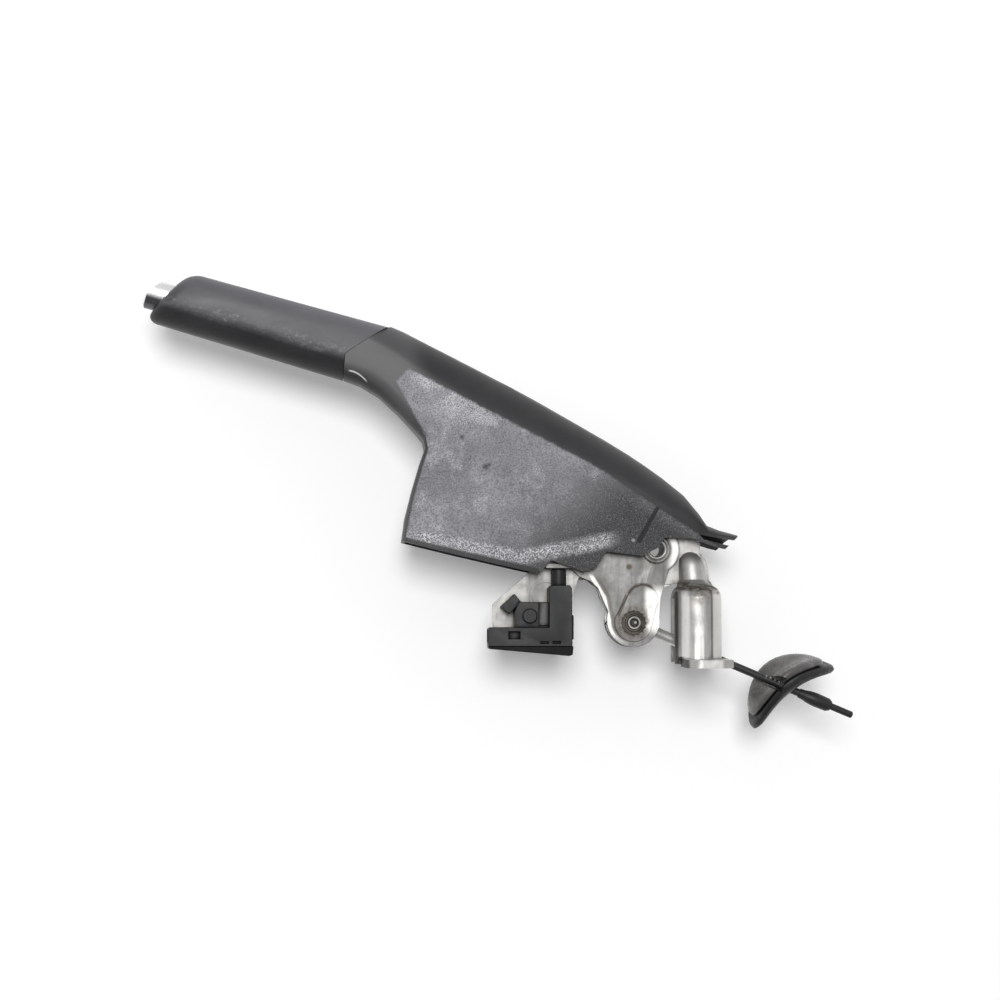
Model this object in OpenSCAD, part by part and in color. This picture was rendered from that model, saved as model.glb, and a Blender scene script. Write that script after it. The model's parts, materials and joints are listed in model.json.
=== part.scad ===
// Parking brake lever: ratchet bracket, hand lever with grip and shroud, warning switch and pull rod

/* [Pivot] */
// Distance of the lever pivot ahead of the rear foot bolts
pivot_ahead = 29; // [27:0.5:31]
// Height of the lever pivot above the floor
pivot_height = 67.5; // [66:0.5:69]
// Diameter of the hollow pivot pin
pivot_d = 12; // [11:0.5:13]
// Diameter of the hole through the pivot pin
pivot_hole_d = 8.4; // [7:0.2:9]
// Diameter of the rolled heads of the pivot pin
pivot_head_d = 16.4; // [15:0.2:18]
// Wall of the bush round the pivot pin
bush_wall = 2; // [1.5:0.1:2.5]
// Radial running clearance of turning and sliding fits
run_fit = 0.05; // [0.03:0.01:0.08]
// Radial clearance of pieces that are riveted or pressed in place
seat_fit = 0.02; // [0.01:0.01:0.04]

/* [Bracket] */
// Sheet thickness of the two bracket halves
bracket_t = 2.5; // [2:0.1:3]
// Radius of the bracket plates round the pivot
hub_r = 26.5; // [24:0.5:26.5]
// Distance between the two rear foot bolts
foot_span = 80; // [76:1:90]
// Diameter of the bolt holes in the feet
foot_hole_d = 9; // [7:0.5:10]
// Thickness of the front foot
foot_t = 3; // [2.5:0.5:4]
// Thickness of the rear feet
rear_foot_t = 4.5; // [3:0.5:5]
// Distance that the left rear foot reaches ahead of its bolt
foot_ahead = 17; // [15:0.5:19]
// Distance that the rear feet reach on their shorter side of the bolt
foot_back = 9.5; // [8.5:0.1:12]
// Width of each rear leg along the lever
leg_w = 26.6; // [24:0.2:28]
// Distance that the right leg stands behind the left leg
leg_stagger = 3.5; // [0:0.5:5]
// Height of the front foot above the rear feet
front_foot_lift = 10; // [8:0.5:12]

/* [Ratchet] */
// Thickness of the toothed sector and of the pawl
sector_t = 4; // [3:0.2:5]
// Radius of the tooth tips round the pivot
sector_r = 42; // [41:0.2:43]
// Angle from one tooth to the next
tooth_pitch = 3.5; // [3:0.25:4]
// Depth of the teeth
tooth_depth = 2; // [1.6:0.1:2.2]
// Number of teeth
tooth_count = 11; // [9:1:11]
// Distance of the resting pawl tip outside the tooth tips
pawl_lift = 0.4; // [0.3:0.1:0.8]
// Diameter of the pawl pin
pawl_pin_d = 6; // [5:0.5:7]

/* [Lever] */
// Sheet thickness of the two lever plates
lever_t = 2.5; // [2:0.1:3]
// Running gap between a lever plate and the bracket
plate_gap = 0.5; // [0.4:0.1:0.8]
// Distance from the pivot to the cable pin
cable_arm = 44.5; // [43:0.5:46]
// Lean of the cable arm ahead of straight down
cable_lean = 17.5; // [15:0.5:19]
// Diameter of the cable pin
cable_pin_d = 8; // [7:0.5:9]
// Outer radius of the tongue round the cable pin
tongue_r = 15.5; // [14.5:0.5:16.5]
// Diameter of the spacer bars between the lever plates
spacer_d = 10; // [8:0.5:11]

/* [Handle] */
// Rise of the handle above level
handle_rise = 15.75; // [14.75:0.25:16.75]
// Outer diameter of the handle tube
tube_d = 21; // [20:0.5:22]
// Wall of the handle tube
tube_wall = 1.5; // [1.2:0.1:2]
// Length of the grip along its axis
grip_len = 119.5; // [112:0.5:124]
// Height of the grip at its rear end
grip_rear_h = 37.4; // [35:0.2:38]
// Height of the grip at its front end
grip_front_h = 33.6; // [32:0.2:35]
// Width of the grip
grip_w = 31; // [30:0.5:33]
// Open line between the grip and the shroud
grip_line = 0.3; // [0.2:0.1:0.6]

/* [Release button] */
// Diameter of the release button
button_d = 19.6; // [18:0.2:20]
// Travel of the release button
button_travel = 7; // [6:0.5:8]
// Diameter of the release rod
release_rod_d = 5; // [4:0.5:6]

/* [Shroud] */
// Wall of the shroud
shroud_wall = 2.4; // [2:0.1:3]
// Half width of the shroud at its lower edge
skirt_half_w = 20; // [19:0.25:21]

/* [Switch] */
// Depth of the switch body in front of its bracket ear
switch_depth = 16.5; // [15:0.5:18]
// Diameter of the switch plunger
plunger_d = 8.7; // [8:0.1:9.2]
// Length of the plunger that stands above the switch
plunger_out = 9.1; // [8.6:0.25:9.1]
// Gap between the resting plunger and the lever tab
tab_gap = 0.3; // [0.2:0.1:0.5]

/* [Pull rod] */
// Slope of the pull rod below level
rod_slope = 22.7; // [21:0.1:24]
// Diameter of the coated pull rod
rod_d = 4.5; // [4:0.1:5]
// Distance from the cable pin to the tip of the rod
rod_reach = 141; // [138:1:145]
// Diameter of the sleeve near the tip
sleeve_d = 8.2; // [7.4:0.1:9]
// Diameter of the tip
rod_tip_d = 4; // [3.4:0.1:4.2]
// Distance of the middle of the grommet ahead of the sleeve
grommet_ahead = 15; // [14.5:0.5:20]
// Length of the oval grommet
grommet_len = 60; // [56:1:64]
// Width of the oval grommet
grommet_w = 31; // [28:0.5:32]

/* [Hidden] */
$fn = 48;

ZINC = "#c8c6c2";
STEEL = "#8d9094";
BLACK = "#3a3b3d";
CHARCOAL = "#4a4b4e";
RUBBER = "#5b5755";
CHROME = "#e2e4e6";

// Sheets across the width, from the middle outwards
sector_y = sector_t / 2;
bracket_y = sector_y + bracket_t;
lever_in = bracket_y + plate_gap;
lever_out = lever_in + lever_t;

// Points on the lever are given from the pivot, ahead being negative and up positive
pivot_r = pivot_d / 2;
bush_r = pivot_r + bush_wall;
cable_pin = [-cable_arm * sin(cable_lean), -cable_arm * cos(cable_lean)];
tongue_mid = cable_pin + [0, 1.2];
tube_ref = [-183.5, 117.5];
tube_r = tube_d / 2;
tube_bore_r = tube_r - tube_wall;
tube_back = -42;
// Joint line between grip and shroud in side view: over the top, down the side to the ridge, and below
joint_top = [-153.5, 129.8];
joint_ridge = [-180.2, 112.2];
joint_bottom = [-181.4, 99];
grip_slant = -0.55;
joint_mid = -16.9;
joint_reach = 14;
grip_back = joint_mid - joint_reach;
grip_front = joint_mid + grip_len;
button_back = grip_front - 6;
tube_front = button_back - button_travel - 4;
button_r = button_d / 2;
rod_r = release_rod_d / 2;
spacer_spots = [[-105, 68], [-75, 43]];

// Pawl and teeth, by angle above level ahead of the pivot
pawl_angle = 20;
pawl_mid_r = sector_r + 9;
pawl_mid = [-pawl_mid_r * cos(40), pawl_mid_r * sin(40)];
pawl_tail_len = 16;
pawl_hub_r = 6.6;
pawl_tail_w = 6;
tooth_start = pawl_angle + 0.05 - tooth_pitch;
tube_up = [sin(handle_rise), cos(handle_rise)];
tube_aft = [cos(handle_rise), -sin(handle_rise)];
pawl_tail = pawl_mid + pawl_tail_len * tube_up;
rod_end = pawl_tail - (pawl_tail_w / 2 + rod_r + 0.3) * tube_aft;

// Switch, from the pivot
plunger_x = -57.4;
switch_top = -20.5;
plunger_top = switch_top + plunger_out;
plunger_y = -bracket_y - switch_depth / 2;
plunger_bottom = -36;
plunger_bore_floor = -53;

function polar(r, a) = [-r * cos(a), r * sin(a)];
function arc(mid, r, a0, a1, n) =
    [for (i = [0:n]) let (a = a0 + (a1 - a0) * i / n) mid + r * [cos(a), sin(a)]];
function on_tube(up, along) = tube_ref + up * tube_up - along * tube_aft;
function unit(v) = v / norm(v);

// Closed skin over rings of equal length, each end closed by bars from point i to its mirror point
module skin(rings) {
    n = len(rings[0]);
    last = (len(rings) - 1) * n;
    sides = [for (k = [0:len(rings) - 2], i = [0:n - 1])
        let (a = k * n + i, b = k * n + (i + 1) % n)
        each [[a, b, b + n], [a, b + n, a + n]]];
    caps = [for (i = [0:n / 2 - 2])
        let (j = n - 1 - i)
        each [[i + 1, i, j], [i + 1, j, j - 1],
            [last + i, last + i + 1, last + j], [last + i + 1, last + j - 1, last + j]]];
    polyhedron([for (r = rings) each r], concat(sides, caps));
}

// Coil of round wire along Z
module coil(r, wire, z0, z1, turns) {
    steps = 11;
    sides = 6;
    skin([for (k = [0:turns * steps])
        let (a = 360 * k / steps, z = z0 + wire / 2 + (z1 - z0 - wire) * k / (turns * steps))
        [for (s = [0:sides - 1])
            let (b = 360 * s / sides, q = r + wire / 2 * cos(b))
            [q * cos(a), q * sin(a), z + wire / 2 * sin(b)]]]);
}

module at_pivot() {
    translate([-pivot_ahead, 0, pivot_height]) children();
}

// A side outline pressed across the width from y0 to y1
module slab(y0, y1) {
    translate([0, y1, 0]) rotate([90, 0, 0]) linear_extrude(y1 - y0) children();
}

module cross_bar(spot, r, y0, y1) {
    translate([spot.x, y1, spot.y]) rotate([90, 0, 0]) cylinder(r = r, h = y1 - y0);
}

// Local Z runs forward along the handle and local X points up from it
module along_tube() {
    at_pivot() translate([tube_ref.x, 0, tube_ref.y]) rotate([0, handle_rise - 90, 0]) children();
}

// Local Z runs down the pull rod from the cable pin
module along_rod() {
    at_pivot() translate([cable_pin.x, 0, cable_pin.y]) rotate([0, 90 + rod_slope, 0]) children();
}

// One ring of a pressed leg: a half oval towards the outside with straight sides to the back,
// and a press line at the rear that leaves out a share of the depth
function leg_ring(z, x, half_w, depth, y, back, press) = concat(
    [[x + half_w, back, z]],
    [for (i = [0:15])
        let (a = -180 * i / 15, d = depth * (i == 5 ? 1 - press : 1))
        [x + half_w * cos(a), y + d * sin(a), z]],
    [[x - half_w, back, z]]);

// Leg that swells from a narrow bead on the plate, over a shoulder, to a half-round post
function leg_rings(x, shrink, low, back_out) = let (
    post = leg_w / 2 - shrink,
    bead = 7.3 - shrink,
    top = pivot_height - 1.5 - shrink,
    levels = [
        [low, 0, post, post - 1.3, -19, -16, 0.09],
        [39 - shrink, 0, post, post - 1.3, -19, -16, 0.09],
        [42.4 - shrink, 0, post - 0.4, post - 2, -18, -13.5, 0.08],
        [44.8 - shrink, -0.1, post - 1.6, post - 3.4, -15.5, -10, 0.05],
        [46.6 - shrink, -0.3, post - 3.4, post - 5, -11, -6, 0],
        [48 - shrink, -0.6, bead + 1.6, bead + 0.4, -7.5, -4, 0],
        [50 - shrink / 2, -0.9, bead + 0.5, bead - 0.1, -5.5, -3.2, 0],
        [top - 8, -1.4, bead + 0.2, bead - 0.1, -5, -3.2, 0],
        [top - 4, -1.9, bead * 0.9, bead * 0.84, -4.5, -3.2, 0],
        [top - 1, -2.1, bead * 0.55, bead * 0.5, -4, -3.2, 0],
        [top, -2.2, bead * 0.25, bead * 0.25, -3.8, -3.2, 0]])
    [for (l = levels) leg_ring(l[0], x + l[1], l[2], l[3], l[4], l[5] + back_out, l[6])];

module leg_solid(x) {
    skin(leg_rings(x, 0, 1.5, 0));
}

module leg_hollow(x) {
    skin(leg_rings(x, bracket_t, -1, 4.5));
}

module rear_foot(front, back) {
    corner = 8;
    edge = foot_span / 2 + 10;
    linear_extrude(rear_foot_t) difference() {
        union() {
            translate([-front, -edge + corner]) square([front + back, edge - corner - 17]);
            translate([corner - front, -edge]) square([front + back - 2 * corner, corner + 1]);
            for (x = [corner - front, back - corner]) translate([x, corner - edge]) circle(corner);
        }
        translate([0, -foot_span / 2]) circle(d = foot_hole_d);
    }
}

// Plate round the pivot, cut off below, with the arm that backs the toothed sector
hub_cut = 20;
module hub_outline() {
    backing_r = sector_r - 6;
    difference() {
        circle(hub_r);
        translate([-hub_r, -hub_r - hub_cut]) square([2 * hub_r, hub_r]);
    }
    polygon(concat([[0, 0]], [for (a = [8:4:60]) polar(backing_r, a)]));
}

module rivet_spots() {
    for (spot = [polar(sector_r - 13, 18), polar(sector_r - 13, 48), [2, -14.5]]) translate(spot) children();
}

module hub_holes() {
    circle(bush_r + seat_fit);
    rivet_spots() circle(3 + seat_fit);
}

// Ear ahead of the pivot that carries the switch
ear_outline = [[-95, -54], [-95, -32], [-73.5, -13], [-66, -4], [-36, 12], [-24, -10],
    [-45, -16.5], [-49.5, -30], [-49.5, -54]];

// Strut from the hub down to the front foot
strut_foot = pivot_height - front_foot_lift;
strut_outline = [[-32, 16], [-64, -11], [-73, -18], [-90, -34], [-90, -strut_foot], [-68, -strut_foot],
    [-68, -36], [-56, -24], [-24, -10]];
front_hole = [-79, 27];

// Pressed ring on the ear beside the switch
ear_ring = [-64, -27.5];

module bracket_left() {
    leg_x = -6.4;
    color(ZINC) difference() {
        union() {
            at_pivot() slab(-bracket_y, -sector_y) difference() {
                union() {
                    hub_outline();
                    polygon(ear_outline);
                }
                hub_holes();
            }
            at_pivot() slab(-bracket_y - 0.5, -bracket_y) translate(ear_ring) difference() {
                circle(9.8);
                circle(8.4);
            }
            leg_solid(leg_x);
            rear_foot(foot_ahead, foot_back);
        }
        leg_hollow(leg_x);
    }
}

module bracket_right() {
    leg_x = -6.4 + leg_stagger;
    color(ZINC) union() {
        difference() {
            union() {
                at_pivot() slab(sector_y, bracket_y) difference() {
                    union() {
                        hub_outline();
                        polygon(strut_outline);
                    }
                    hub_holes();
                }
                mirror([0, 1, 0]) leg_solid(leg_x);
                mirror([0, 1, 0]) rear_foot(foot_back, foot_back + leg_stagger);
            }
            mirror([0, 1, 0]) leg_hollow(leg_x);
        }
        translate([-pivot_ahead, 0, front_foot_lift]) linear_extrude(foot_t) difference() {
            translate([-90, sector_y]) square([22, 37 - sector_y]);
            translate(front_hole) circle(d = foot_hole_d);
        }
    }
}

// Saw teeth whose steep faces look up and back, so that the lever can rise but not fall
module ratchet_sector() {
    sector_end = tooth_start + tooth_pitch * tooth_count + 5;
    land = tooth_start - 6;
    teeth = [for (k = [1:tooth_count])
        let (a = tooth_start + tooth_pitch * (tooth_count - k))
        each [polar(sector_r - tooth_depth, a + 0.25), polar(sector_r, a)]];
    color(STEEL) at_pivot() slab(-sector_y, sector_y) difference() {
        polygon(concat(arc([0, 0], hub_r - 4, 180 - land, 540 - sector_end, 32),
            [polar(sector_r, sector_end), polar(sector_r, sector_end - 5)], teeth, [polar(sector_r, land)]));
        hub_holes();
    }
}

module sector_rivets() {
    color(STEEL) at_pivot() slab(-bracket_y, bracket_y) rivet_spots() circle(3);
}

module pivot_bush() {
    color("#b59a5a") at_pivot() slab(-bracket_y, bracket_y) difference() {
        circle(bush_r);
        circle(pivot_r + run_fit);
    }
}

// Side outline of a lever plate: handle end, arm, pivot boss and tongue
lever_outline = concat(
    [on_tube(10.5, -26), [-136, 109], [-80, 78], [-32, 50], [-16, 36]],
    arc([0, 0], 14, 62, -58, 10),
    [[2.6, -28]],
    arc(tongue_mid, tongue_r, 10, -200, 16),
    [[-31.6, -28.2], [-33.9, -22.4], [-38.6, -18.3], [-44.4, -16], [-50, plunger_top + tab_gap],
        [-66, plunger_top + tab_gap], [-70, 14], [-95, 46], [-125, 74],
        on_tube(-11, -40), on_tube(-11, -15)]);

module lever_plate_shape() {
    difference() {
        polygon(lever_outline);
        circle(pivot_r + seat_fit);
        translate(cable_pin) circle(d = cable_pin_d + 2 * seat_fit);
        translate(pawl_mid) circle(d = pawl_pin_d + 2 * seat_fit);
        for (spot = spacer_spots) translate(spot) circle(3 + seat_fit);
    }
}

// Turned-in rim along the front and lower edge of the tongue
module tongue_rim(depth) {
    translate([tongue_mid.x, 0, tongue_mid.y]) rotate([90, 0, 0]) rotate([0, 0, 190])
        rotate_extrude(angle = 95) translate([tongue_r - lever_t - 0.3, 0]) square([lever_t, depth]);
}

// Oval swelling on the tongue round the cable pin
module tongue_pad_shape() {
    high = cable_pin + [5.5, 13];
    lean = atan2(high.y - cable_pin.y, high.x - cable_pin.x);
    difference() {
        polygon(concat(arc(cable_pin, 11, lean + 95, lean + 265, 14),
            arc(high, 9, lean - 95, lean + 95, 14)));
        translate(cable_pin) circle(d = cable_pin_d + 2 * seat_fit);
    }
}

pad_t = 1.2;
rim_depth = 2.5;
module lever_plate_left() {
    tab_len = switch_depth - 5;
    color(ZINC) at_pivot() union() {
        slab(-lever_out, -lever_in) lever_plate_shape();
        slab(-lever_out - pad_t, -lever_out) tongue_pad_shape();
        translate([0, -lever_in + rim_depth, 0]) tongue_rim(rim_depth + 0.5);
        translate([-65, -lever_in - tab_len, plunger_top + tab_gap]) cube([15, tab_len, 2.5]);
    }
}

module lever_plate_right() {
    color(ZINC) at_pivot() union() {
        slab(lever_in, lever_out) lever_plate_shape();
        translate([0, lever_in + 0.5, 0]) tongue_rim(rim_depth + 0.5);
    }
}

module lever_spacers() {
    head = 1.4;
    color(STEEL) at_pivot() for (spot = spacer_spots) {
        cross_bar(spot, spacer_d / 2, -lever_in, lever_in);
        cross_bar(spot, 3, -lever_out - head, lever_out + head);
        for (y = [-lever_out - head, lever_out]) cross_bar(spot, 4.6, y, y + head);
    }
}

// Hollow pin with a rolled rim at each end
module pivot_pin() {
    head_r = pivot_head_d / 2;
    hole_r = pivot_hole_d / 2;
    rim = 1.1;
    color(ZINC) at_pivot() rotate([90, 0, 0]) difference() {
        union() {
            cylinder(r = pivot_r, h = 2 * lever_out, center = true);
            for (s = [0, 180]) rotate([s, 0, 0]) translate([0, 0, lever_out]) rotate_extrude()
                polygon(concat([[hole_r, 0], [head_r - 0.6, 0]],
                    arc([head_r - rim, rim], rim, -40, 110, 6),
                    arc([hole_r + rim, 2 * rim], rim, 70, 180, 6)));
        }
        cylinder(r = hole_r, h = 4 * lever_out, center = true);
    }
}

module pawl_pin() {
    head = 1.4;
    color(STEEL) at_pivot() {
        cross_bar(pawl_mid, pawl_pin_d / 2, -lever_out - head, lever_out + head);
        for (y = [-lever_out - head, lever_out]) cross_bar(pawl_mid, pawl_pin_d / 2 + 1.6, y, y + head);
    }
}

ring_t = 1.2;
module cable_pin() {
    near = lever_out + pad_t + ring_t + 1.6;
    color(STEEL) at_pivot() difference() {
        union() {
            cross_bar(cable_pin, cable_pin_d / 2, -near, lever_out);
            cross_bar(cable_pin, cable_pin_d / 2 + 2.5, lever_out, lever_out + 2.5);
        }
        cross_bar(cable_pin, cable_pin_d / 4, -near - 1, -near + 0.8);
    }
}

// Push-on star ring that grips the near end of the cable pin
module cable_pin_ring() {
    outer_r = 7.4;
    points = 16;
    star = [for (i = [0:2 * points - 1])
        let (a = 180 * i / points)
        (outer_r - 0.8 * (i % 2)) * [cos(a), sin(a)]];
    back = -lever_out - pad_t;
    color("#6f6a62") at_pivot() translate([cable_pin.x, 0, cable_pin.y]) difference() {
        union() {
            slab(back - ring_t, back) polygon(star);
            slab(back - ring_t - 0.9, back) circle(5.2);
        }
        slab(back - 4, back + 1) circle(d = cable_pin_d + 2 * seat_fit);
    }
}

// Handle tube, slotted at its rear end over the two lever plates
module lever_tube() {
    slot_top = 24;
    color(STEEL) along_tube() difference() {
        translate([0, 0, tube_back]) cylinder(r = tube_r, h = tube_front - tube_back);
        translate([0, 0, tube_back - 1]) cylinder(r = tube_bore_r, h = tube_front - tube_back + 2);
        for (s = [-1, 1])
            translate([-slot_top / 2, s * (lever_in + lever_out) / 2 - lever_t / 2 - 0.05, tube_back - 1])
                cube([slot_top, lever_t + 0.1, 35]);
    }
}

guide_at = 25;
guide_len = 7;
module rod_guide() {
    color("#d8d4c6") along_tube() translate([0, 0, guide_at]) difference() {
        cylinder(r = tube_bore_r - seat_fit, h = guide_len);
        translate([0, 0, -1]) cylinder(r = rod_r + run_fit, h = guide_len + 2);
    }
}

// One ring of the grip, squarish oval and slanted like the joint with the shroud
// Cross-section of the grip: rounded top, flat sides down to a soft ridge, narrower underside
grip_ridge = 0.3;
function grip_ring(along, half_h, half_w) =
    [for (i = [0:35])
        let (a = -360 * (i + 0.5) / 36, c = cos(a), s = sin(a),
            up = half_h * sign(c) * pow(abs(c), 0.7),
            under = max(0, -grip_ridge - up / half_h) / (1 - grip_ridge),
            side = half_w * sign(s) * pow(abs(s), 0.62) * (1 - 0.3 * under))
        [up, side, along + grip_slant * up]];

// Side view area ahead of the joint line, moved forward by a gap
module ahead_of_joint(gap) {
    shift = gap * [-cos(handle_rise), sin(handle_rise)];
    polygon([for (p = [joint_top + [60, 45], joint_top, joint_ridge, joint_bottom, joint_bottom + [4, -50],
        [-400, 0], [-400, 300], [0, 300]]) p + shift]);
}

module grip() {
    h0 = grip_rear_h / 2;
    h1 = grip_front_h / 2;
    w = grip_w / 2;
    nose = 7;
    body_end = grip_front - nose;
    nose_rings = [for (i = [1:5])
        let (a = 15 * i, shrink = 5.5 * (1 - cos(a)))
        grip_ring(body_end + nose * sin(a) / sin(75), h1 - shrink, w - shrink)];
    body = [for (i = [0:7])
        let (f = i / 7)
        grip_ring(grip_back + (body_end - grip_back) * f, h0 + (h1 - h0) * f, w - 0.6 * sin(180 * f))];
    color(BLACK) intersection() {
        along_tube() difference() {
            skin(concat(body, nose_rings));
            translate([0, 0, -60]) cylinder(r = tube_r + seat_fit, h = 60 + tube_front);
            translate([0, 0, tube_front - 1]) cylinder(r = button_r + run_fit, h = 60);
        }
        at_pivot() slab(-grip_w, grip_w) ahead_of_joint(grip_line);
    }
}

spigot_back = button_back - 27;
button_tip = grip_front + 15;
module release_button() {
    color(CHROME) along_tube() difference() {
        union() {
            intersection() {
                translate([0, 0, button_back]) cylinder(r = button_r, h = 40);
                translate([-12, 0, button_tip - 23.2]) sphere(24, $fn = 96);
                translate([-1, 0, button_tip - 13.8]) sphere(14, $fn = 96);
            }
            translate([0, 0, spigot_back]) cylinder(r = tube_bore_r - run_fit, h = button_back - spigot_back);
        }
        translate([0, 0, spigot_back - 1]) cylinder(r = rod_r + seat_fit, h = 11);
    }
}

// Wire rod from the button, bent down behind the tube to the tail of the pawl
rod_bend = on_tube(0, -48);
module release_rod() {
    run = rod_end - rod_bend;
    color(STEEL) union() {
        along_tube() translate([0, 0, -48]) cylinder(r = rod_r, h = 48 + spigot_back + 9);
        at_pivot() translate([rod_bend.x, 0, rod_bend.y]) {
            sphere(rod_r + 0.1);
            rotate([0, atan2(run.x, run.y), 0]) cylinder(r = rod_r - 0.1, h = norm(run));
        }
        at_pivot() translate([rod_end.x, 0, rod_end.y]) sphere(rod_r);
    }
}

module button_spring() {
    color(STEEL) along_tube() coil(6, 1.4, guide_at + guide_len + 0.2, spigot_back - 0.2, 8);
}

// Pawl that drops into the teeth, with a tail that the release rod pushes
module pawl() {
    tip = polar(sector_r + pawl_lift, pawl_angle);
    heel = polar(sector_r + pawl_lift + 3, pawl_angle + 4.5);
    tail_side = pawl_tail_w / 2 * tube_aft;
    tail_end = pawl_tail + 2 * tube_up;
    color(STEEL) at_pivot() slab(-sector_y + 0.1, sector_y - 0.1) difference() {
        union() {
            translate(pawl_mid) circle(pawl_hub_r);
            polygon([tip, heel, pawl_mid + [pawl_hub_r * 0.3, -4], pawl_mid + [-pawl_hub_r * 0.98, 0],
                polar(sector_r + pawl_lift + 5, pawl_angle + 0.3)]);
            polygon([pawl_mid - tail_side, pawl_mid + tail_side, tail_end + tail_side, tail_end - tail_side]);
            translate(tail_end) circle(pawl_tail_w / 2);
        }
        translate(pawl_mid) circle(pawl_pin_d / 2 + run_fit);
    }
}

// Stations of the shroud from the grip joint to the tail: top point, bottom point,
// half width at the top crease, half width at the bottom, height of the crown, bottom rounding
skirt = skirt_half_w;
shroud_stations = [
    [[-165, 134], [-193.6, 102.4], 15.5, 14.2, 15, 11],
    [[-147, 126.7], [-172, 94.7], 15.7, 15.2, 15.5, 10.5],
    [[-139, 122.6], [-161, 88.1], 16, 15.6, 16.5, 9.5],
    [[-131, 118.5], [-149.5, 77.9], 16.4, 16.4, 18, 8],
    [[-124, 115], [-141, 68.9], 16.8, 17, 19, 6.5],
    [[-118, 112], [-135.5, 62.7], 17, skirt - 2.4, 20, 5],
    [[-114, 109.9], [-134.5, 57.5], 17.2, skirt - 2, 20, 4.5],
    [[-110, 107.9], [-137.3, 49.5], 17.3, skirt - 1.6, 20.5, 4.5],
    [[-105, 105.4], [-141.8, 34], 17.4, skirt - 1, 20.5, 4.5],
    [[-99, 102.3], [-146, 17], 17.5, skirt - 0.5, 21, 4.5],
    [[-93, 99.2], [-147.7, 4], 17.5, skirt, 21.5, 4.5],
    [[-85, 95.2], [-121, -2.4], 17.6, skirt, 22, 0],
    [[-76, 90.4], [-91, -9.3], 17.6, skirt, 22.5, 0],
    [[-67, 85.5], [-69.3, -14.2], 17.6, skirt, 23, 0],
    [[-59, 81], [-62.3, -6.7], 17.6, skirt, 23, 0],
    [[-45, 73.1], [-43.2, -13.1], 17.6, skirt, 22.5, 0],
    [[-37, 68.5], [-36.2, -10.8], 17.6, skirt - 0.2, 22, 0],
    [[-29, 64], [-30.4, -1.5], 17.6, skirt - 0.6, 21.5, 0],
    [[-15, 55.5], [-9.7, -4], 17.5, skirt - 1.2, 21, 0],
    [[-5, 48.9], [-0.9, 0.4], 17.2, skirt - 1.8, 20, 0],
    [[5, 41.8], [3.8, 6.6], 16.8, skirt - 2.6, 18, 0],
    [[17, 32.2], [20, 6.2], 16.2, 17, 13, 0],
    [[25.8, 21.5], [25.5, 4], 15.8, 16, 8, 0],
    [[30, 14.6], [29.8, 2.6], 15.6, 15.7, 5, 0],
    [[37.5, 11.6], [34.2, 1.2], 15.5, 15.5, 4, 0],
    [[48, 8.6], [39.2, 0], 15.5, 15.5, 2.6, 0]];
shroud_last = len(shroud_stations) - 1;
front_corner = 10;

// Fractions of the half width at which the shroud is sliced, and the crown height left there
slices = [1, 0.985, 0.95, 0.9, 0.83, 0.72, 0.55, 0.3];
function crown_drop(f) = 1 - pow(1 - pow(f, 1.6), 0.625);
function round_drop(depth, r) = depth < r ? r - sqrt(r * r - (r - depth) * (r - depth)) : 0;

function side_normal(points, i) = let (
    d = unit(points[min(i + 1, shroud_last)] - points[max(i - 1, 0)]))
    [d.y, -d.x];

// Side view points of one slice, top edge first and then back along the bottom edge
function shroud_slice(f, tops, bottoms, thin) = concat(
    [for (i = [0:shroud_last])
        tops[i] + unit(bottoms[i] - tops[i]) * shroud_stations[i][4] * crown_drop(abs(f))],
    [for (k = [0:shroud_last]) let (i = shroud_last - k, s = shroud_stations[i], w = s[3] - thin)
        bottoms[i] - unit(bottoms[i] - tops[i]) * (i < front_corner - 4
            ? round_drop(w * (1 - abs(f)), max(s[5] - thin, 0.1)) : 0)]);

// Front edge points move back instead of up, so that the upright front edge is rounded
function front_shift(f, i, thin) = let (s = shroud_stations[i], w = s[3] - thin)
    i >= front_corner - 4 && i <= front_corner
        ? round_drop(w * (1 - abs(f)), max(s[5] - thin, 0.1)) : 0;

function shroud_ring(f, tops, bottoms, thin) = let (points = shroud_slice(f, tops, bottoms, thin))
    [for (k = [0:2 * shroud_last + 1])
        let (top = k <= shroud_last, i = top ? k : 2 * shroud_last + 1 - k,
            w = shroud_stations[i][top ? 2 : 3] - thin)
        [points[k].x + (top ? 0 : front_shift(f, i, thin)), f * w, points[k].y]];

module shroud_loft(tops, bottoms, thin) {
    fractions = concat(slices, [0], [for (i = [1:len(slices)]) -slices[len(slices) - i]]);
    skin([for (f = fractions) shroud_ring(f, tops, bottoms, thin)]);
}

outer_tops = [for (s = shroud_stations) s[0]];
outer_bottoms = [for (s = shroud_stations) s[1]];
open_below = 14;
// Inner surface: walls in from the top and the front, open below, at the rear and at the grip joint
inner_tops = [for (i = [0:shroud_last]) outer_tops[i] + shroud_wall * side_normal(outer_tops, i)
    + (i == 0 ? [-4, 2] : i == shroud_last ? [6, -1.5] : [0, 0])];
inner_bottoms = [for (i = [0:shroud_last]) outer_bottoms[i]
    + (i < front_corner - 4 ? -shroud_wall * side_normal(outer_bottoms, i)
        : i < front_corner ? [shroud_wall, 0]
        : i == front_corner ? [shroud_wall - 2.5, -open_below] : [0, -open_below])
    + (i == 0 ? [-4, 2] : i == shroud_last ? [6, 0] : [0, 0])];

// Press line near the tail, on both walls
module shroud_groove(side) {
    hull() for (spot = [[1.7, 23.6], [-11.2, 4]])
        translate([spot.x, side * (skirt - 1.2), spot.y]) rotate([90, 0, 0])
            cylinder(r = 0.8, h = 3, center = true);
}

// Slot through the left wall that parts the tail into an upper lip and a lower flange
tail_slot = [[24, 8.6], [42, 5.6], [60, 2.6], [60, -1.8], [39.6, 2.4], [26.5, 5.6]];

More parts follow.
